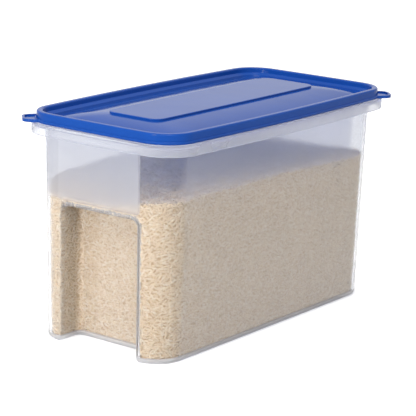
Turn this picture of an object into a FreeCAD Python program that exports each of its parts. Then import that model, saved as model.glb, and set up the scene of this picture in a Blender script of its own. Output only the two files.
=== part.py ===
import FreeCAD, Part
import math
import os

from FreeCAD import Vector

# Tall rectangular keeper for dry food: a tapered translucent tub with a hand grip let into each end,
# a press-on seal lid with two pull tabs, and the fill of rice that the tub holds.
# X runs along the length, Y across, Z up; the origin is the middle of the base.

# Seal line: the bowed outline of the lid's lip, which the tub's neck and collar follow
seal_length = 361.0
seal_width = 184.0
seal_corner_radius = 33.5
long_side_radius = 3150.0
short_side_radius = 2600.0

# Tub walls
wall = 2.6
floor_thickness = 3.0
wall_taper = 3.0
wall_corner_radius = 30.0
base_edge_radius = 3.6

# Collar: an apron that hangs from the flange round the top of the tub
collar_underside_height = 194.5
collar_height = 10.2
collar_reach = 2.8
collar_thickness = 2.2
collar_edge_radius = 0.9
flange_thickness = 2.4
flange_root_radius = 2.5
seal_to_end_wall = 7.2
seal_to_side_wall = 13.6

# Neck above the flange, which goes up into the lid
neck_thickness = 1.9
neck_clearance = 0.3
lip_clearance = 0.3
plug_clearance = 0.6

# Hand grip let into each end wall
grip_width = 88.0
grip_height = 131.0
grip_depth = 30.6
grip_corner_radius = 6.0
grip_bend_radius = 5.5
grip_mouth_radius = 4.2

# Lid rim, an upside-down channel over the neck
rim_height = 9.7
rim_lean = 1.0
rim_edge_radius = 1.7
skirt_thickness = 1.5
inner_wall_thickness = 1.7
lid_thickness = 1.3
lip_reach = 0.9
lip_height = 2.7
lip_edge_radius = 0.8

# Lid panel inside the rim: a sloping ledge, a gutter, a crowned margin and a raised middle
rim_inside_drop = 4.8
rim_inside_lean = 0.4
ledge_width = 3.4
ledge_drop = 2.2
gutter_wall_width = 0.8
gutter_wall_drop = 2.0
middle_length = 256.0
middle_width = 63.0
middle_side_radius = 9000.0
middle_corner_radius = 11.0
middle_step = 1.9
middle_edge_radius = 0.9
margin_sections = 4
# How far the margin bulges over a straight slope, as a share of its rise
margin_bulge_share = 0.6

# Pull tabs at two opposite corners of the lid
tab_reach = 8.5
tab_width = 32.0
tab_tip_width = 23.0
tab_tip_radius = 8.5
tab_thickness = 2.9
tab_border = 2.3
tab_hollow = 1.3
tab_corner_angle = 45.0

# Rice in the tub
rice_clearance = 0.4
rice_height = 150.0
# Places where the heap's height is set, from the left end to the right, as shares of half the length
rice_place_shares = [-1.0, -0.84, -0.6, -0.25, 0.15, 0.55, 0.85, 1.0]
# Height of the heap at those places, as shares of the rice height, in rows from front to back
rice_heap_shares = [
    [1.005, 1.0, 1.0, 1.0, 1.0, 0.98, 0.975, 0.98],
    [0.97, 0.995, 1.02, 1.025, 1.02, 1.0, 0.98, 0.97],
    [0.895, 1.02, 1.04, 1.045, 1.04, 1.015, 0.98, 0.95],
    [0.885, 1.025, 1.04, 1.05, 1.045, 1.02, 0.985, 0.955],
    [0.955, 1.0, 1.02, 1.035, 1.04, 1.02, 0.995, 0.98],
]

# How far cutting shapes run past the faces that they cut
overrun = 20.0
# How close two places count as one
near = 0.01

# Sizes worked out from those above
collar_top_height = collar_underside_height + collar_height
lip_bottom_height = collar_top_height + lip_clearance
lid_top_height = lip_bottom_height + rim_height
channel_roof_height = lid_top_height - lid_thickness
channel_outer_inset = lip_reach + rim_lean + skirt_thickness
neck_outer_inset = channel_outer_inset + neck_clearance
neck_inner_inset = neck_outer_inset + neck_thickness
channel_inner_inset = neck_inner_inset + neck_clearance
rim_inner_inset = channel_inner_inset + inner_wall_thickness
ledge_height = lid_top_height - rim_inside_drop
ledge_inset = rim_inner_inset + rim_inside_lean
gutter_edge_height = ledge_height - ledge_drop
gutter_edge_inset = ledge_inset + ledge_width
gutter_height = gutter_edge_height - gutter_wall_drop
gutter_inset = gutter_edge_inset + gutter_wall_width
flange_top_height = gutter_height - lid_thickness - plug_clearance
flange_underside_height = flange_top_height - flange_thickness
wall_top_half_length = seal_length / 2 - seal_to_end_wall
wall_top_half_width = seal_width / 2 - seal_to_side_wall
grip_panel_place = wall_top_half_length - grip_depth


def unit(x, y):
    """Direction of a plan vector."""
    size = math.hypot(x, y)
    return x / size, y / size


def rounded_loop(corners, height):
    """Closed flat wire through (x, y, radius) corners, each corner turned by a tangent arc."""
    bends = []
    for number, (x, y, radius) in enumerate(corners):
        before = corners[number - 1]
        after = corners[(number + 1) % len(corners)]
        come = unit(x - before[0], y - before[1])
        go = unit(after[0] - x, after[1] - y)
        turn = math.acos(come[0] * go[0] + come[1] * go[1])
        setback = radius * math.tan(turn / 2)
        inward = unit(go[0] - come[0], go[1] - come[1])
        depth = radius / math.cos(turn / 2) - radius
        start = Vector(x - come[0] * setback, y - come[1] * setback, height)
        middle = Vector(x + inward[0] * depth, y + inward[1] * depth, height)
        end = Vector(x + go[0] * setback, y + go[1] * setback, height)
        bends.append((start, middle, end))
    edges = []
    for number, (start, middle, end) in enumerate(bends):
        edges.append(Part.makeLine(bends[number - 1][2], start))
        if corners[number][2] > 0:
            edges.append(Part.Arc(start, middle, end).toShape())
    return Part.Wire(edges)


def bowed_loop(half_length, half_width, long_radius, short_radius, corner_radius, height):
    """Closed flat wire of four bowed sides joined by tangent corner arcs."""
    long_centre = half_width - long_radius
    short_centre = half_length - short_radius
    # The corner arc touches both bowed sides from inside, so its centre lies on two circles
    reach_long = long_radius - corner_radius
    reach_short = short_radius - corner_radius
    apart = math.hypot(short_centre, long_centre)
    along_x, along_y = unit(short_centre, -long_centre)
    along = (reach_long ** 2 - reach_short ** 2 + apart ** 2) / (2 * apart)
    aside = math.sqrt(reach_long ** 2 - along ** 2)
    corner_x = along_x * along - along_y * aside
    corner_y = long_centre + along_y * along + along_x * aside
    if corner_x < 0 or corner_y < 0:
        corner_x = along_x * along + along_y * aside
        corner_y = long_centre + along_y * along - along_x * aside
    to_long = unit(corner_x, corner_y - long_centre)
    to_short = unit(corner_x - short_centre, corner_y)
    to_corner = unit(to_long[0] + to_short[0], to_long[1] + to_short[1])
    on_long = (corner_x + to_long[0] * corner_radius, corner_y + to_long[1] * corner_radius)
    on_short = (corner_x + to_short[0] * corner_radius, corner_y + to_short[1] * corner_radius)
    on_corner = (corner_x + to_corner[0] * corner_radius, corner_y + to_corner[1] * corner_radius)

    def place(point, side_x, side_y):
        return Vector(point[0] * side_x, point[1] * side_y, height)

    def arc(start, middle, end):
        return Part.Arc(start, middle, end).toShape()

    edges = [
        arc(place(on_short, 1, -1), Vector(half_length, 0, height), place(on_short, 1, 1)),
        arc(place(on_short, 1, 1), place(on_corner, 1, 1), place(on_long, 1, 1)),
        arc(place(on_long, 1, 1), Vector(0, half_width, height), place(on_long, -1, 1)),
        arc(place(on_long, -1, 1), place(on_corner, -1, 1), place(on_short, -1, 1)),
        arc(place(on_short, -1, 1), Vector(-half_length, 0, height), place(on_short, -1, -1)),
        arc(place(on_short, -1, -1), place(on_corner, -1, -1), place(on_long, -1, -1)),
        arc(place(on_long, -1, -1), Vector(0, -half_width, height), place(on_long, 1, -1)),
        arc(place(on_long, 1, -1), place(on_corner, 1, -1), place(on_short, 1, -1)),
    ]
    return Part.Wire(edges)


def seal_loop(inset, height):
    """The seal line moved in by an inset."""
    return bowed_loop(
        seal_length / 2 - inset,
        seal_width / 2 - inset,
        long_side_radius - inset,
        short_side_radius - inset,
        seal_corner_radius - inset,
        height,
    )


def seal_plate(inset, low, high):
    """Upright plate inside the seal line."""
    return Part.Face(seal_loop(inset, low)).extrude(Vector(0, 0, high - low))


def tapered_seal_plate(low_inset, low, high_inset, high):
    """Plate inside the seal line whose edge leans from one inset to another."""
    return Part.makeLoft([seal_loop(low_inset, low), seal_loop(high_inset, high)], True, True)


def edges_where(shape, wanted):
    """The edges whose two ends and middle all pass a test of their place."""
    chosen = []
    for edge in shape.Edges:
        middle = edge.valueAt((edge.FirstParameter + edge.LastParameter) / 2)
        places = [vertex.Point for vertex in edge.Vertexes] + [middle]
        if all(wanted(place) for place in places):
            chosen.append(edge)
    return chosen


def wall_half_length(height):
    return wall_top_half_length - wall_taper * (1 - height / collar_underside_height)


def wall_half_width(height):
    return wall_top_half_width - wall_taper * (1 - height / collar_underside_height)


def wall_loop(inset, height):
    """Outline of the tub's four walls at a height, moved in by an inset."""
    x = wall_half_length(height) - inset
    y = wall_half_width(height) - inset
    radius = wall_corner_radius - inset
    return rounded_loop([(-x, -y, radius), (x, -y, radius), (x, y, radius), (-x, y, radius)], height)


def grip_hollow(inset, side):
    """The space of one hand grip, grown by an inset; side is -1 or 1 along X."""
    half = grip_width / 2 + inset
    top = grip_height + inset
    radius = grip_corner_radius + inset
    arch = rounded_loop(
        [(-half, -overrun, 0), (half, -overrun, 0), (half, top, radius), (-half, top, radius)], 0
    )
    arch.rotate(Vector(0, 0, 0), Vector(1, 0, 0), 90)
    arch.rotate(Vector(0, 0, 0), Vector(0, 0, 1), 90)
    panel = side * (grip_panel_place - inset)
    arch.translate(Vector(panel, 0, 0))
    hollow = Part.Face(arch).extrude(Vector(side * (grip_depth + inset + overrun), 0, 0))

    def on_panel(place):
        return abs(place.x - panel) < near and place.z > near - overrun

    return hollow.makeFillet(grip_bend_radius + inset, edges_where(hollow, on_panel))


def tub_form(inset, low, high):
    """The tub's walls as a full solid moved in by an inset, with both hand grips let in."""
    form = Part.makeLoft([wall_loop(inset, low), wall_loop(inset, high)], True, True)
    for side in (-1, 1):
        form = form.cut(grip_hollow(inset, side))

    def on_mouth(place):
        on_end = abs(abs(place.x) - wall_half_length(place.z) + inset) < near
        beside = abs(place.y) < grip_width / 2 + inset + near
        return on_end and beside and place.z < grip_height + inset + near

    form = form.makeFillet(grip_mouth_radius - inset, edges_where(form, on_mouth))

    def on_base(place):
        return abs(place.z - low) < near

    return form.makeFillet(base_edge_radius - inset, edges_where(form, on_base))


def make_collar():
    """Collar: the flange as a full plate, with the apron that hangs from its edge."""
    collar = seal_plate(-collar_reach, collar_underside_height, collar_top_height)
    hollow_inset = collar_thickness - collar_reach
    hollow = seal_plate(hollow_inset, collar_underside_height - overrun, flange_underside_height)
    collar = collar.cut(hollow)

    def on_edge(place):
        on_foot = abs(place.z - collar_underside_height) < near
        return on_foot or abs(place.z - collar_top_height) < near

    return collar.makeFillet(collar_edge_radius, edges_where(collar, on_edge))


def make_tub():
    """Tub: walls, floor, hand grips, collar and neck in one moulding."""
    outside = tub_form(0, 0, flange_top_height).fuse(make_collar())

    def on_root(place):
        on_flange = abs(place.z - flange_underside_height) < near
        on_end = abs(place.x) < wall_half_length(place.z) + near
        return on_flange and on_end and abs(place.y) < wall_half_width(place.z) + near

    outside = outside.makeFillet(flange_root_radius, edges_where(outside, on_root))
    outside = outside.fuse(seal_plate(neck_outer_inset, flange_underside_height, channel_roof_height))
    inside = tub_form(wall, floor_thickness, flange_top_height + near)
    mouth = seal_plate(neck_inner_inset, flange_top_height, channel_roof_height + overrun)
    return outside.cut(inside).cut(mouth).removeSplitter()


def margin_loop(inset, sink, rise_share):
    """One outline of the lid's crowned margin, between the gutter (0) and the raised middle (1)."""
    outer_inset = gutter_inset + inset
    rise = lid_top_height - middle_step - gutter_height
    crown_share = rise_share + margin_bulge_share * rise_share * (1 - rise_share)

    def between(outer, inner):
        return outer + (inner - outer) * rise_share

    return bowed_loop(
        between(seal_length / 2 - outer_inset, middle_length / 2 - inset),
        between(seal_width / 2 - outer_inset, middle_width / 2 - inset),
        between(long_side_radius - outer_inset, middle_side_radius - inset),
        between(short_side_radius - outer_inset, middle_side_radius - inset),
        between(seal_corner_radius - outer_inset, middle_corner_radius - inset),
        gutter_height - sink + rise * crown_share,
    )


def lid_crown(inset, sink):
    """Solid under the lid's margin and raised middle, moved in by an inset and down by a sink."""
    shares = [number / (margin_sections - 1) for number in range(margin_sections)]
    margin = Part.makeLoft([margin_loop(inset, sink, share) for share in shares], True, False)
    foot = Part.Face(margin_loop(inset, sink, 1))
    return margin.fuse(foot.extrude(Vector(0, 0, middle_step)))


def make_rim():
    """Lid rim: skirt, lip bead, channel over the neck, inner wall, ledge and gutter."""
    rim = tapered_seal_plate(lip_reach, lip_bottom_height, lip_reach + rim_lean, lid_top_height)
    rim = rim.cut(seal_plate(channel_outer_inset, lip_bottom_height - overrun, channel_roof_height))
    # The plug inside the neck narrows downwards under the ledge
    plug_height = ledge_height - lid_thickness
    plug_low = gutter_height - lid_thickness
    plug = tapered_seal_plate(gutter_edge_inset, plug_low, channel_inner_inset, plug_height)
    plug = plug.fuse(seal_plate(channel_inner_inset, plug_height, lid_top_height))
    rim = rim.fuse(plug)
    # The dish above the panel
    dish = tapered_seal_plate(ledge_inset, ledge_height, rim_inner_inset, lid_top_height)
    dish = dish.fuse(tapered_seal_plate(gutter_edge_inset, gutter_edge_height, ledge_inset, ledge_height))
    dish = dish.fuse(tapered_seal_plate(gutter_inset, gutter_height, gutter_edge_inset, gutter_edge_height))
    rim = rim.cut(dish)

    def on_top(place):
        return abs(place.z - lid_top_height) < near

    rim = rim.makeFillet(rim_edge_radius, edges_where(rim, on_top))
    lip = seal_plate(0, lip_bottom_height, lip_bottom_height + lip_height)
    lip = lip.makeFillet(lip_edge_radius, edges_where(lip, lambda place: True))
    lip = lip.cut(seal_plate(channel_outer_inset, lip_bottom_height - overrun, lid_top_height))
    return rim.fuse(lip)


def tab_plate(border, low, high):
    """Tongue of a pull tab on the +X axis of a corner's own frame, moved in by a border."""
    root = seal_corner_radius - tab_width / 2
    tip = seal_corner_radius + tab_reach - border
    root_half = tab_width / 2 - border
    tip_half = tab_tip_width / 2 - border
    radius = tab_tip_radius - border
    loop = rounded_loop(
        [(root, -root_half, 0), (tip, -tip_half, radius), (tip, tip_half, radius), (root, root_half, 0)],
        low,
    )
    return Part.Face(loop).extrude(Vector(0, 0, high - low))


def make_tab(turn):
    """One pull tab: a tongue with a raised border, out from the lid's corner."""
    top = lip_bottom_height + tab_thickness
    tab = tab_plate(0, lip_bottom_height, top)
    tab = tab.cut(tab_plate(tab_border, top - tab_hollow, top + overrun))
    tab.rotate(Vector(0, 0, 0), Vector(0, 0, 1), -tab_corner_angle)
    corner_x = seal_length / 2 - seal_corner_radius
    corner_y = seal_width / 2 - seal_corner_radius
    tab.translate(Vector(corner_x, -corner_y, 0))
    tab.rotate(Vector(0, 0, 0), Vector(0, 0, 1), turn)
    return tab.cut(seal_plate(channel_outer_inset, lip_bottom_height - overrun, lid_top_height))


def make_lid():
    """Seal lid: rim, crowned panel with its raised middle, and two pull tabs."""
    lid = make_rim().fuse(lid_crown(0, 0))

    def on_middle_edge(place):
        inside = abs(place.x) < middle_length / 2 + near and abs(place.y) < middle_width / 2 + near
        return inside and abs(place.z - lid_top_height) < near

    lid = lid.makeFillet(middle_edge_radius, edges_where(lid, on_middle_edge))
    lid = lid.cut(lid_crown(lid_thickness / 2, lid_thickness))
    for turn in (0, 180):
        lid = lid.fuse(make_tab(turn))
    return lid.removeSplitter()


def make_rice():
    """Rice: fills the tub to a heaped top that sinks towards the ends, most steeply at the left."""
    fill = tub_form(wall + rice_clearance, floor_thickness, collar_underside_height)
    rows = []
    for row_number, shares in enumerate(rice_heap_shares):
        y = (row_number / (len(rice_heap_shares) - 1) - 1 / 2) * (2 * wall_top_half_width)
        row = []
        for place_share, share in zip(rice_place_shares, shares):
            row.append(Vector(wall_top_half_length * place_share, y, rice_height * share))
        rows.append(row)
    heap = Part.BSplineSurface()
    heap.interpolate(rows)
    above = heap.toShape().extrude(Vector(0, 0, collar_top_height))
    return fill.cut(above)


os.makedirs("parts", exist_ok=True)
make_tub().exportStep("parts/tub.step")
make_lid().exportStep("parts/lid.step")
make_rice().exportStep("parts/rice_fill.step")
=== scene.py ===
import math

import bpy
import numpy as np
from mathutils import Matrix, Vector
from mathutils.bvhtree import BVHTree


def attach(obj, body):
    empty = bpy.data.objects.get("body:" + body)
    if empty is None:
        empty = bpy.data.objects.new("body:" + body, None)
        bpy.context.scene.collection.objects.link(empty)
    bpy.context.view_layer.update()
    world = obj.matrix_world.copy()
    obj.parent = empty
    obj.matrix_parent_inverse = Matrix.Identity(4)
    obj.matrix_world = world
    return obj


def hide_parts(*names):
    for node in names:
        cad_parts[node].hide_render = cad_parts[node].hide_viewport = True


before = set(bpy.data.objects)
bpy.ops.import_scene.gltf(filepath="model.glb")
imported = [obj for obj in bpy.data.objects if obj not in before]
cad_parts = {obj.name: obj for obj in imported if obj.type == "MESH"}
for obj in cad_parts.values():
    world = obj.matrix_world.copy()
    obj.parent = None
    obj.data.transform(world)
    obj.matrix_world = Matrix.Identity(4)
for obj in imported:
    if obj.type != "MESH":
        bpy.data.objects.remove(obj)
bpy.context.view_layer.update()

# A keeper for dry food: a frosted tub full of rice under a blue press-on lid.
# Metres, X along the length, Y across, Z up, the origin in the middle of the base.

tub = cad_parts["tub"]
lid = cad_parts["lid"]
rice_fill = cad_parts["rice_fill"]
MM = 0.001


def linear(hex_colour):
    """Linear colour of an sRGB hex value."""
    shares = [int(hex_colour[i:i + 2], 16) / 255 for i in (1, 3, 5)]
    return [s / 12.92 if s <= 0.04045 else ((s + 0.055) / 1.055) ** 2.4 for s in shares] + [1.0]


def add_node(tree, kind, settings, sockets):
    """Adds a node, with its settings, and fills or links its sockets."""
    node = tree.nodes.new(kind)
    for name, value in settings.items():
        setattr(node, name, value)
    for name, value in sockets.items():
        if isinstance(value, bpy.types.NodeSocket):
            tree.links.new(value, node.inputs[name])
        else:
            node.inputs[name].default_value = value
    return node


def start_material(name):
    """A new material and its node tree, which is still empty."""
    material = bpy.data.materials.new(name)
    material.use_nodes = True
    material.node_tree.nodes.clear()
    return material, material.node_tree


def dress(piece, material):
    """Gives a piece one material all over."""
    piece.data.materials.clear()
    piece.data.materials.append(material)


# Finishes


def frosted_polypropylene():
    """Natural polypropylene, injection moulded. It is milky in itself; the flats are textured, so they blur
    what is behind them, and the four upright corners are polished, so grains show sharp through them."""
    material, tree = start_material("frosted_polypropylene")
    place = add_node(tree, "ShaderNodeTexCoord", {}, {}).outputs["Object"]
    axes = add_node(tree, "ShaderNodeSeparateXYZ", {}, {0: place})
    sideways = axes.outputs["Y"]
    height = axes.outputs["Z"]
    along = add_node(tree, "ShaderNodeMath", {"operation": "ABSOLUTE"}, {0: axes.outputs["X"]}).outputs[0]
    across = add_node(tree, "ShaderNodeMath", {"operation": "ABSOLUTE"}, {0: sideways}).outputs[0]

    # Each zone of the wall fades in from the first place to the second, in mm from the middle of the base.
    # The flats of the side and end walls run out into the corners 30 mm in from the next wall
    zone_places = {
        "past_side_flat": (along, 139, 146),
        "past_end_flat": (across, 45.5, 48.5),
        "front_corner": (sideways, -45.5, -48.5),
        "past_grip_panel": (across, 40.0, 42.5),
        "off_side_wall": (across, 52, 48),
        "inside_grip": (along, 166, 162),
        "foot": (height, 6.0, 4.0),
        "over_rice": (height, 134, 142),
        "collar": (height, 192, 194),
    }
    zones = {}
    for name, (reading, start, full) in zone_places.items():
        zones[name] = add_node(tree, "ShaderNodeMapRange", {"interpolation_type": "SMOOTHSTEP"}, {
            "Value": reading, "From Min": start * MM, "From Max": full * MM}).outputs[0]

    # The sides of the grips have too little draft to be textured, so they are polished like the corners
    corner = add_node(tree, "ShaderNodeMath", {"operation": "MULTIPLY"}, {
        0: zones["past_side_flat"], 1: zones["past_end_flat"]}).outputs[0]
    grip_side = add_node(tree, "ShaderNodeMath", {"operation": "MULTIPLY"}, {
        0: zones["past_grip_panel"], 1: zones["inside_grip"]}).outputs[0]
    grip_side = add_node(tree, "ShaderNodeMath", {"operation": "MULTIPLY"}, {
        0: grip_side, 1: zones["off_side_wall"]}).outputs[0]
    polished = add_node(tree, "ShaderNodeMath", {"operation": "MAXIMUM"}, {
        0: corner, 1: grip_side}).outputs[0]
    polished = add_node(tree, "ShaderNodeMath", {"operation": "SUBTRACT", "use_clamp": True}, {
        0: polished, 1: zones["collar"]}).outputs[0]

    # The melt flowed unevenly, in soft clouds
    cloud_size = 50 * MM
    clouds = add_node(tree, "ShaderNodeTexNoise", {}, {
        "Vector": place, "Scale": 1 / cloud_size, "Detail": 3.0, "Roughness": 0.5}).outputs["Fac"]
    cloudy = add_node(tree, "ShaderNodeMapRange", {}, {
        "Value": clouds, "From Min": 0.3, "From Max": 0.7, "To Min": 0.9, "To Max": 1.1}).outputs[0]

    # What touches the wall shows through it and what stands off it blurs, so a line of sight is blurred
    # where it leaves the wall, more than where it enters
    leaving = add_node(tree, "ShaderNodeNewGeometry", {}, {}).outputs["Backfacing"]
    flat_blur = add_node(tree, "ShaderNodeMapRange", {}, {
        "Value": leaving, "To Min": 0.05, "To Max": 0.22}).outputs[0]
    blur = add_node(tree, "ShaderNodeMapRange", {}, {
        "Value": polished, "To Min": flat_blur, "To Max": 0.11}).outputs[0]
    blur = add_node(tree, "ShaderNodeMath", {"operation": "MULTIPLY"}, {0: blur, 1: cloudy}).outputs[0]

    # Painted shade: the end walls above the rice, up to the front corners, are made hazier and let less
    # lamp light through, so that the rice top under the lid is darker
    haze_and_painted_shade = add_node(tree, "ShaderNodeMath", {"operation": "MULTIPLY"}, {
        0: zones["past_side_flat"], 1: zones["over_rice"]}).outputs[0]
    for spared_zone in ("front_corner", "collar"):
        haze_and_painted_shade = add_node(tree, "ShaderNodeMath", {"operation": "SUBTRACT", "use_clamp": True}, {
            0: haze_and_painted_shade, 1: zones[spared_zone]}).outputs[0]

    # It looks milkier where the eye runs along it or through more than one layer: at the base and the
    # collar, and at a slant. The haze of the painted shade over the rice adds to that
    slant = add_node(tree, "ShaderNodeLayerWeight", {}, {"Blend": 0.5}).outputs["Facing"]
    slant = add_node(tree, "ShaderNodeMath", {"operation": "POWER"}, {0: slant, 1: 3.0}).outputs[0]
    milk = add_node(tree, "ShaderNodeMapRange", {}, {
        "Value": polished, "To Min": 0.07, "To Max": 0.03}).outputs[0]
    milk = add_node(tree, "ShaderNodeMath", {"operation": "MULTIPLY"}, {0: milk, 1: cloudy}).outputs[0]
    for cause, most in ((zones["foot"], 0.4), (zones["collar"], 0.05), (slant, 0.38), (haze_and_painted_shade, 0.19)):
        milk = add_node(tree, "ShaderNodeMath", {"operation": "MULTIPLY_ADD"}, {
            0: cause, 1: most, 2: milk}).outputs[0]
    clear = add_node(tree, "ShaderNodeMath", {"operation": "SUBTRACT"}, {0: 1.0, 1: milk}).outputs[0]
    body_tint = add_node(tree, "ShaderNodeMix", {"data_type": "RGBA"}, {
        0: slant, 6: linear("#F3F4F6"), 7: linear("#E3E5EB")}).outputs[2]

    # Spark texture of the mould, drawn coarser than the real 0.2 mm so that it shows
    spark_size = 0.8 * MM
    spark = add_node(tree, "ShaderNodeTexNoise", {}, {
        "Vector": place, "Scale": 1 / spark_size, "Detail": 1.0}).outputs["Fac"]
    relief = add_node(tree, "ShaderNodeBump", {}, {
        "Strength": 0.04, "Distance": 0.1 * MM, "Height": spark}).outputs[0]

    # The IOR is below the 1.49 of clear sheet, so that edges bend less of the backdrop into view
    plastic = add_node(tree, "ShaderNodeBsdfPrincipled", {}, {
        "Base Color": body_tint, "Roughness": blur, "IOR": 1.3, "Transmission Weight": clear,
        "Coat Weight": 0.15, "Coat Roughness": 0.12, "Normal": relief})
    glow = add_node(tree, "ShaderNodeBsdfTranslucent", {}, {"Color": linear("#F1F1F3")})
    body = add_node(tree, "ShaderNodeMixShader", {}, {0: milk, 1: plastic.outputs[0], 2: glow.outputs[0]})

    # Lamps shine through the wall onto the rice, less through the end walls above it, a painted shade that
    # darkens the rice top under the lid
    path = add_node(tree, "ShaderNodeLightPath", {}, {})
    lamp_tint = add_node(tree, "ShaderNodeMix", {"data_type": "RGBA"}, {
        0: haze_and_painted_shade, 6: linear("#E0E2E8"), 7: linear("#A4A8B8")}).outputs[2]
    pass_through = add_node(tree, "ShaderNodeBsdfTransparent", {}, {"Color": lamp_tint})
    surface = add_node(tree, "ShaderNodeMixShader", {}, {
        0: path.outputs["Is Shadow Ray"], 1: body.outputs[0], 2: pass_through.outputs[0]})
    add_node(tree, "ShaderNodeOutputMaterial", {}, {"Surface": surface.outputs[0]})
    return material


def blue_polyethylene():
    """Low-density polyethylene, injection moulded and dyed cobalt blue. It is waxy: a soft even gloss that
    grows strong at low angles, slow waves where the panel sank in cooling, and a faint orange peel."""
    cloud_size = 45 * MM
    wave_size = 35 * MM
    peel_size = 2.5 * MM
    material, tree = start_material("blue_polyethylene")
    place = add_node(tree, "ShaderNodeTexCoord", {}, {}).outputs["Object"]
    clouds = add_node(tree, "ShaderNodeTexNoise", {}, {
        "Vector": place, "Scale": 1 / cloud_size, "Detail": 3.0}).outputs["Fac"]
    colour = add_node(tree, "ShaderNodeMix", {"data_type": "RGBA"}, {
        0: clouds, 6: linear("#13479C"), 7: linear("#1950AA")}).outputs[2]
    gloss = add_node(tree, "ShaderNodeMapRange", {}, {
        "Value": clouds, "To Min": 0.09, "To Max": 0.14}).outputs[0]
    waves = add_node(tree, "ShaderNodeTexNoise", {}, {
        "Vector": place, "Scale": 1 / wave_size, "Detail": 1.0}).outputs["Fac"]
    sunk = add_node(tree, "ShaderNodeBump", {}, {
        "Strength": 0.35, "Distance": 0.5 * MM, "Height": waves}).outputs[0]
    peel = add_node(tree, "ShaderNodeTexNoise", {}, {
        "Vector": place, "Scale": 1 / peel_size, "Detail": 1.0}).outputs["Fac"]
    relief = add_node(tree, "ShaderNodeBump", {}, {
        "Strength": 0.05, "Distance": 0.1 * MM, "Height": peel, "Normal": sunk}).outputs[0]
    plastic = add_node(tree, "ShaderNodeBsdfPrincipled", {}, {
        "Base Color": colour, "Roughness": gloss, "IOR": 1.51, "Specular IOR Level": 0.10,
        "Normal": relief})

    # Some light soaks through the thin panel and falls blue on the rice
    path = add_node(tree, "ShaderNodeLightPath", {}, {})
    soak = add_node(tree, "ShaderNodeBsdfTransparent", {}, {"Color": linear("#6497E6")})
    surface = add_node(tree, "ShaderNodeMixShader", {}, {
        0: path.outputs["Is Shadow Ray"], 1: plastic.outputs[0], 2: soak.outputs[0]})
    add_node(tree, "ShaderNodeOutputMaterial", {}, {"Surface": surface.outputs[0]})
    return material


def milled_rice():
    """White milled rice, dry: matt, cream to chalk, no two grains quite alike, chalkier at the ends."""
    material, tree = start_material("milled_rice")
    tint = add_node(tree, "ShaderNodeAttribute", {"attribute_name": "grain_tint"}, {}).outputs["Fac"]
    tip = add_node(tree, "ShaderNodeAttribute", {"attribute_name": "grain_tip"}, {}).outputs["Fac"]
    shades = add_node(tree, "ShaderNodeValToRGB", {}, {"Fac": tint})
    ramp = shades.color_ramp
    ramp.elements[0].color = linear("#DDC097")
    ramp.elements[1].color = linear("#F5E7CE")
    cream_place = 0.55
    cream = ramp.elements.new(cream_place)
    cream.color = linear("#EACFA6")
    chalk = add_node(tree, "ShaderNodeMix", {"data_type": "RGBA"}, {
        0: tip, 6: shades.outputs[0], 7: linear("#F3DFC0")}).outputs[2]
    grain = add_node(tree, "ShaderNodeBsdfPrincipled", {}, {
        "Base Color": chalk, "Roughness": 0.5, "IOR": 1.4})
    add_node(tree, "ShaderNodeOutputMaterial", {}, {"Surface": grain.outputs[0]})
    return material


def packed_rice():
    """The rice behind the outer grains: the same grain, darker as painted shade, darkest between
    grain-sized lumps.
    """
    lump_size = 3.2 * MM
    material, tree = start_material("packed_rice")
    place = add_node(tree, "ShaderNodeTexCoord", {}, {}).outputs["Object"]
    lumps = add_node(tree, "ShaderNodeTexVoronoi", {}, {"Vector": place, "Scale": 1 / lump_size})
    # Painted shade: lighter in the middle of each lump, darker towards its edges
    colour = add_node(tree, "ShaderNodeMix", {"data_type": "RGBA"}, {
        0: lumps.outputs["Distance"], 6: linear("#DCC096"), 7: linear("#C09C6C")}).outputs[2]
    relief = add_node(tree, "ShaderNodeBump", {"invert": True}, {
        "Strength": 0.8, "Distance": 1.0 * MM, "Height": lumps.outputs["Distance"]}).outputs[0]
    mass = add_node(tree, "ShaderNodeBsdfPrincipled", {}, {
        "Base Color": colour, "Roughness": 0.7, "Normal": relief})
    add_node(tree, "ShaderNodeOutputMaterial", {}, {"Surface": mass.outputs[0]})
    return material


# Rice

GRAIN_LENGTH = 6.1 * MM
GRAIN_WIDTH = 1.85 * MM
GRAIN_THICKNESS = 0.88 * GRAIN_WIDTH
# Each grain's length, width and thickness vary between these shares
GRAIN_SIZE_SHARES = ((0.88, 1.08), (0.9, 1.08), (0.92, 1.06))
# The two shape values of the spread of shades, a beta distribution from dark to light
SHADE_SPREAD = (2.2, 2.0)
# How sharply the chalk gathers at a grain's ends
TIP_POWER = 3
# Least distance between two grains' places, and how many places are tried in each square of it
GRAIN_GAP = 2.0 * MM
PLACE_TRIES = 3.2
# Height at which the outer grains begin
RICE_FOOT = 6.0 * MM
# How far the core lies in from the outside of the rice, behind the outer grains
CORE_INSET = 1.5 * MM
# A face looks up, down or to an end when this share of its normal points that way
FACING_SHARE = 0.6
# A face is flat on top when the level direction across it comes out shorter than this
FLAT_LIMIT = 0.05
# At a wall this share of the grains lies any way round, and the rest spread from level, in radians
ANY_WAY_SHARE = 0.35
LEVEL_SPREAD = 0.6
# How far grains tilt out of the face that they lie on, in radians
TOP_TILT = 0.22
WALL_TILT = 0.13
# Least and most depth of a grain's middle under that face, in mm
TOP_DEPTHS = (0.2, 1.4)
WALL_DEPTHS = (0.95, 1.6)
# A grain with an end through the wall is laid again, each time deeper
LAY_TRIES = 8
DEEPER_EACH_TRY = 0.25 * MM
THROUGH_LIMIT = 0.1 * MM
# Grains further out along the length than the first are near an end, and nearer than the second to its
# middle they lie round the grip
END_PLACE = 125 * MM
GRIP_REACH = 60 * MM
# How close two corners of loose triangles are to count as one
MERGE_GAP = 0.001 * MM
ORIGIN = (0, 0, 0)
dice = np.random.default_rng(7)


def pick(piece):
    """Makes a piece the only selected and active one."""
    bpy.ops.object.select_all(action="DESELECT")
    piece.select_set(True)
    bpy.context.view_layer.objects.active = piece


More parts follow.
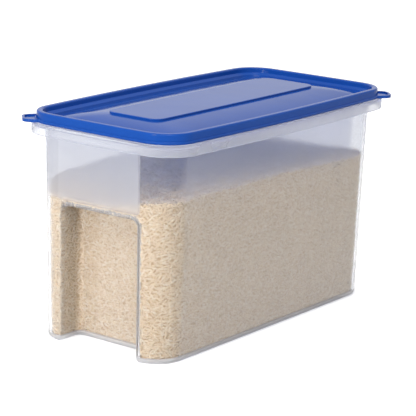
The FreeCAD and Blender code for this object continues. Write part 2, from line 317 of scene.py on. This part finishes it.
def copy_fill(name):
    """A copy of the rice solid with its loose triangles merged."""
    piece = bpy.data.objects.new(name, rice_fill.data.copy())
    bpy.context.scene.collection.objects.link(piece)
    pick(piece)
    bpy.ops.object.mode_set(mode="EDIT")
    bpy.ops.mesh.select_all(action="SELECT")
    bpy.ops.mesh.remove_doubles(threshold=MERGE_GAP)
    bpy.ops.mesh.quads_convert_to_tris()
    bpy.ops.object.mode_set(mode="OBJECT")
    return piece


def model_grain():
    """One grain along X, of a few dozen faces: blunt ends, an oval section and a slight bend."""
    shoulder_start = 0.5
    shoulder_end = 0.9
    shoulder_swell = (1.02, 1.14, 1.1)
    waist_reach = 0.2 * GRAIN_LENGTH
    bend = 0.08 * GRAIN_WIDTH
    bpy.ops.object.select_all(action="DESELECT")
    bpy.ops.mesh.primitive_uv_sphere_add(segments=5, ring_count=4, radius=0.5)
    grain = bpy.context.object
    bpy.ops.object.mode_set(mode="EDIT")
    bpy.ops.mesh.select_all(action="SELECT")
    bpy.ops.mesh.quads_convert_to_tris()
    bpy.ops.transform.rotate(value=math.pi / 2, orient_axis="Y", center_override=ORIGIN)
    bpy.ops.transform.resize(value=(GRAIN_LENGTH, GRAIN_WIDTH, GRAIN_THICKNESS), center_override=ORIGIN)
    bpy.ops.object.mode_set(mode="OBJECT")
    for vertex in grain.data.vertices:
        share = abs(vertex.co.x) / (GRAIN_LENGTH / 2)
        vertex.select = shoulder_start < share < shoulder_end
    bpy.ops.object.mode_set(mode="EDIT")
    bpy.ops.mesh.select_mode(type="VERT")
    bpy.ops.transform.resize(value=shoulder_swell, center_override=ORIGIN)
    bpy.ops.object.mode_set(mode="OBJECT")
    for vertex in grain.data.vertices:
        vertex.select = abs(vertex.co.x) < waist_reach
    bpy.ops.object.mode_set(mode="EDIT")
    bpy.ops.transform.translate(value=(0, bend, 0))
    bpy.ops.object.mode_set(mode="OBJECT")
    points = np.array([v.co for v in grain.data.vertices])
    faces = np.array([p.vertices for p in grain.data.polygons])
    bpy.data.objects.remove(grain)
    return points, faces


def has_room(spot, cell, taken):
    """Whether no place that is taken, in this cell or the next ones, lies within the grain gap."""
    for i in (-1, 0, 1):
        for j in (-1, 0, 1):
            for k in (-1, 0, 1):
                for x, y, z in taken.get((cell[0] + i, cell[1] + j, cell[2] + k), ()):
                    if (spot[0] - x) ** 2 + (spot[1] - y) ** 2 + (spot[2] - z) ** 2 < GRAIN_GAP ** 2:
                        return False
    return True


def spread_places(surface):
    """Places over the sides and top of the rice, none nearer to the next than the grain gap, and the
    normals there."""
    mesh = surface.data
    corners = np.array([[mesh.vertices[i].co for i in p.vertices] for p in mesh.polygons])
    normals = np.array([p.normal for p in mesh.polygons])
    areas = np.array([p.area for p in mesh.polygons]) * (normals[:, 2] > -FACING_SHARE)
    tries = int(areas.sum() / GRAIN_GAP ** 2 * PLACE_TRIES)
    chosen = dice.choice(len(areas), tries, p=areas / areas.sum())
    first, second = dice.random((2, tries))
    outside = first + second > 1
    first[outside] = 1 - first[outside]
    second[outside] = 1 - second[outside]
    start = corners[chosen, 0]
    first_edge = corners[chosen, 1] - start
    second_edge = corners[chosen, 2] - start
    spots = start + first[:, None] * first_edge + second[:, None] * second_edge
    above_foot = spots[:, 2] > RICE_FOOT
    spots = spots[above_foot]
    chosen = chosen[above_foot]
    cells = np.floor(spots / GRAIN_GAP).astype(int)
    taken = {}
    kept = []
    for number, (spot, cell) in enumerate(zip(spots.tolist(), cells.tolist())):
        if has_room(spot, cell, taken):
            taken.setdefault(tuple(cell), []).append(spot)
            kept.append(number)
    return spots[kept], normals[chosen[kept]]


def lay_grains(surface, spots, normals):
    """For each place, a grain's middle and its three axes. A grain lies along the wall, mostly level,
    and is laid again until neither end comes through the wall, or else left out."""
    walls = BVHTree.FromObject(surface, bpy.context.evaluated_depsgraph_get())
    half = GRAIN_LENGTH / 2
    middles = []
    turns = []
    for spot, normal in zip(spots, normals):
        on_top = normal[2] > FACING_SHARE
        out = Vector(normal)
        level = Vector((0, 0, 1)).cross(out)
        if level.length < FLAT_LIMIT:
            level = Vector((1, 0, 0)) - out * out.x
        level.normalize()
        rise = out.cross(level)
        for attempt in range(LAY_TRIES):
            if on_top or dice.random() < ANY_WAY_SHARE:
                angle = dice.uniform(-math.pi / 2, math.pi / 2)
            else:
                angle = dice.normal(0, LEVEL_SPREAD)
            tilt = dice.normal(0, TOP_TILT if on_top else WALL_TILT)
            depth = dice.uniform(*(TOP_DEPTHS if on_top else WALL_DEPTHS)) * MM
            in_face = level * math.cos(angle) + rise * math.sin(angle)
            long_axis = in_face * math.cos(tilt) + out * math.sin(tilt)
            middle = Vector(spot) - out * (depth + DEEPER_EACH_TRY * attempt)
            worst = -1.0
            for end in (middle + long_axis * half, middle - long_axis * half):
                touched, face_out = walls.find_nearest(end)[:2]
                if abs(face_out.z) < FACING_SHARE:
                    worst = max(worst, (end - touched).dot(face_out))
            if worst < THROUGH_LIMIT:
                break
        else:
            continue
        side_axis = out.cross(long_axis).normalized()
        middles.append(middle)
        turns.append((long_axis, side_axis, long_axis.cross(side_axis)))
    return np.array(middles), np.array(turns)


def pour(name, middles, turns):
    """Makes one piece of many grains, each with its own size, shade and place."""
    count = len(middles)
    sizes = np.stack([dice.uniform(least, most, count) for least, most in GRAIN_SIZE_SHARES], axis=1)
    points = grain_points[None] * sizes[:, None]
    points = np.einsum("gvi,gij->gvj", points, turns) + middles[:, None]
    first = np.arange(count)[:, None, None] * len(grain_points)
    faces = grain_faces[None] + first
    mesh = bpy.data.meshes.new(name)
    mesh.from_pydata(points.reshape(-1, 3).tolist(), [], faces.reshape(-1, 3).tolist())
    mesh.polygons.foreach_set("use_smooth", np.ones(len(mesh.polygons), bool))
    tints = np.repeat(dice.beta(*SHADE_SPREAD, count), len(grain_points)).astype(np.float32)
    outward = np.clip(np.abs(grain_points[:, 0]) / (GRAIN_LENGTH / 2), 0, 1)
    tips = np.tile(outward ** TIP_POWER, count).astype(np.float32)
    mesh.attributes.new("grain_tint", "FLOAT", "POINT").data.foreach_set("value", tints)
    mesh.attributes.new("grain_tip", "FLOAT", "POINT").data.foreach_set("value", tips)
    mesh.update()
    piece = bpy.data.objects.new(name, mesh)
    bpy.context.scene.collection.objects.link(piece)
    dress(piece, rice_finish)
    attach(piece, "tub_body")


rice_finish = milled_rice()
rice_core = copy_fill("rice_core")
grain_points, grain_faces = model_grain()
rice_spots, rice_normals = spread_places(rice_core)
rice_middles, rice_turns = lay_grains(rice_core, rice_spots, rice_normals)

pick(rice_core)
bpy.ops.object.mode_set(mode="EDIT")
bpy.ops.mesh.select_all(action="SELECT")
bpy.ops.transform.shrink_fatten(value=-CORE_INSET)
bpy.ops.object.mode_set(mode="OBJECT")
dress(rice_core, packed_rice())
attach(rice_core, "tub_body")
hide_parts("rice_fill")

# The outer grains are shared out among eight pieces, by the face of the rice that they lie on
grain_x = rice_middles[:, 0]
grain_y = rice_middles[:, 1]
grain_out = rice_turns[:, 2]
on_top = np.abs(grain_out[:, 2]) > FACING_SHARE
to_end = np.abs(grain_out[:, 0]) > FACING_SHARE
round_grip = np.abs(grain_y) < GRIP_REACH
at_end = ~on_top & (np.abs(grain_x) > END_PLACE) & (to_end | round_grip)
on_side = ~on_top & ~at_end
rice_faces = {
    "top": on_top,
    "end": at_end,
    "front": on_side & (grain_y < 0),
    "back": on_side & (grain_y >= 0),
}
for half, in_half in (("left", grain_x < 0), ("right", grain_x >= 0)):
    for face, on_face in rice_faces.items():
        chosen_grains = on_face & in_half
        pour("rice_" + face + "_" + half, rice_middles[chosen_grains], rice_turns[chosen_grains])

# Tub and lid

dress(tub, frosted_polypropylene())
dress(lid, blue_polyethylene())

# Studio

FLOOR_SIZE = 16
FLOOR_GLOW = 0.75
SHADOW_REACH = 14 * MM
ROOM_LIGHT = 0.33
BACKDROP_WHITE = 1.0


def seen_share(tree):
    """1 where the eye sees the backdrop, straight, mirrored or through the wall, and 0 for light that a
    matt surface gathers, so the white backdrop puts no light on the object."""
    path = add_node(tree, "ShaderNodeLightPath", {}, {})
    seen = path.outputs["Is Camera Ray"]
    for way in ("Is Glossy Ray", "Is Transmission Ray"):
        seen = add_node(tree, "ShaderNodeMath", {"operation": "MAXIMUM"}, {
            0: seen, 1: path.outputs[way]}).outputs[0]
    return add_node(tree, "ShaderNodeMath", {"operation": "SUBTRACT", "use_clamp": True}, {
        0: seen, 1: path.outputs["Diffuse Depth"]}).outputs[0]


def studio_paper():
    """White paper, matt. Its soft shadow under the tub is partly cast by the lamps and partly painted."""
    material, tree = start_material("studio_paper")
    # Painted shadow: the glow fades out close to the tub, where ambient occlusion finds little open sky
    open_sky = add_node(tree, "ShaderNodeAmbientOcclusion", {"samples": 8}, {
        "Distance": SHADOW_REACH}).outputs["AO"]
    seen = add_node(tree, "ShaderNodeMath", {"operation": "MULTIPLY"}, {
        0: seen_share(tree), 1: open_sky}).outputs[0]
    strength = add_node(tree, "ShaderNodeMath", {"operation": "MULTIPLY"}, {
        0: seen, 1: FLOOR_GLOW}).outputs[0]
    paper = add_node(tree, "ShaderNodeBsdfDiffuse", {}, {"Color": linear("#F6F6F6")})
    lift = add_node(tree, "ShaderNodeEmission", {}, {"Color": linear("#FFFFFF"), "Strength": strength})
    both = add_node(tree, "ShaderNodeAddShader", {}, {0: paper.outputs[0], 1: lift.outputs[0]})
    add_node(tree, "ShaderNodeOutputMaterial", {}, {"Surface": both.outputs[0]})
    return material


bpy.ops.object.select_all(action="DESELECT")
bpy.ops.mesh.primitive_plane_add(size=FLOOR_SIZE, location=ORIGIN)
floor = bpy.context.object
floor.name = "studio_floor"
dress(floor, studio_paper())

world = bpy.data.worlds.new("studio")
bpy.context.scene.world = world
world.use_nodes = True
room = world.node_tree
room.nodes.clear()
room_light = add_node(room, "ShaderNodeBackground", {}, {
    "Color": linear("#FFFFFF"), "Strength": ROOM_LIGHT})
room_white = add_node(room, "ShaderNodeBackground", {}, {
    "Color": linear("#FFFFFF"), "Strength": BACKDROP_WHITE})
room_mix = add_node(room, "ShaderNodeMixShader", {}, {
    0: seen_share(room), 1: room_light.outputs[0], 2: room_white.outputs[0]})
add_node(room, "ShaderNodeOutputWorld", {}, {"Surface": room_mix.outputs[0]})


def softbox(name, place, aim, size, power):
    """A square softbox lamp at a place, turned to its aim. Only its mirror image is seen."""
    bpy.ops.object.light_add(type="AREA", location=place)
    lamp = bpy.context.object
    lamp.name = name
    lamp.data.shape = "SQUARE"
    lamp.data.size = size
    lamp.data.energy = power
    lamp.rotation_euler = (Vector(aim) - Vector(place)).to_track_quat("-Z", "Y").to_euler()
    lamp.visible_camera = False
    lamp.visible_transmission = False


# One lamp at the left of the front, a smaller one on the left end and a wide one overhead
softbox("key_lamp", place=(-1.0, -0.72, 1.25), aim=(0, 0, 0.1), size=0.8, power=10.0)
softbox("end_lamp", place=(-1.55, -0.05, 0.5), aim=(0, 0, 0.1), size=0.4, power=9.8)
softbox("top_lamp", place=(-0.1, 0.1, 1.9), aim=(0, 0, 0.2), size=1.2, power=13)

# The camera stands to the left of the front and looks a little down, through a long lens
camera_place = (-1.43608, -1.05591, 0.54588)
turn = math.radians(-53.57)
tip = math.radians(13.891)
lean = math.radians(1.84)
back = Vector((math.sin(turn) * math.cos(tip), -math.cos(turn) * math.cos(tip), math.sin(tip)))
right = Vector((math.cos(turn), math.sin(turn), 0))
above = back.cross(right)
camera_x = right * math.cos(lean) + above * math.sin(lean)
camera_y = above * math.cos(lean) - right * math.sin(lean)
camera_turn = Matrix((camera_x, camera_y, back)).transposed()
camera_data = bpy.data.cameras.new("camera")
camera_data.sensor_width = 36
camera_data.lens = 163.28
camera_data.clip_end = 50
camera = bpy.data.objects.new("camera", camera_data)
bpy.context.scene.collection.objects.link(camera)
camera.matrix_world = Matrix.Translation(camera_place) @ camera_turn.to_4x4()
bpy.context.scene.camera = camera
bpy.context.scene.view_settings.view_transform = "Standard"
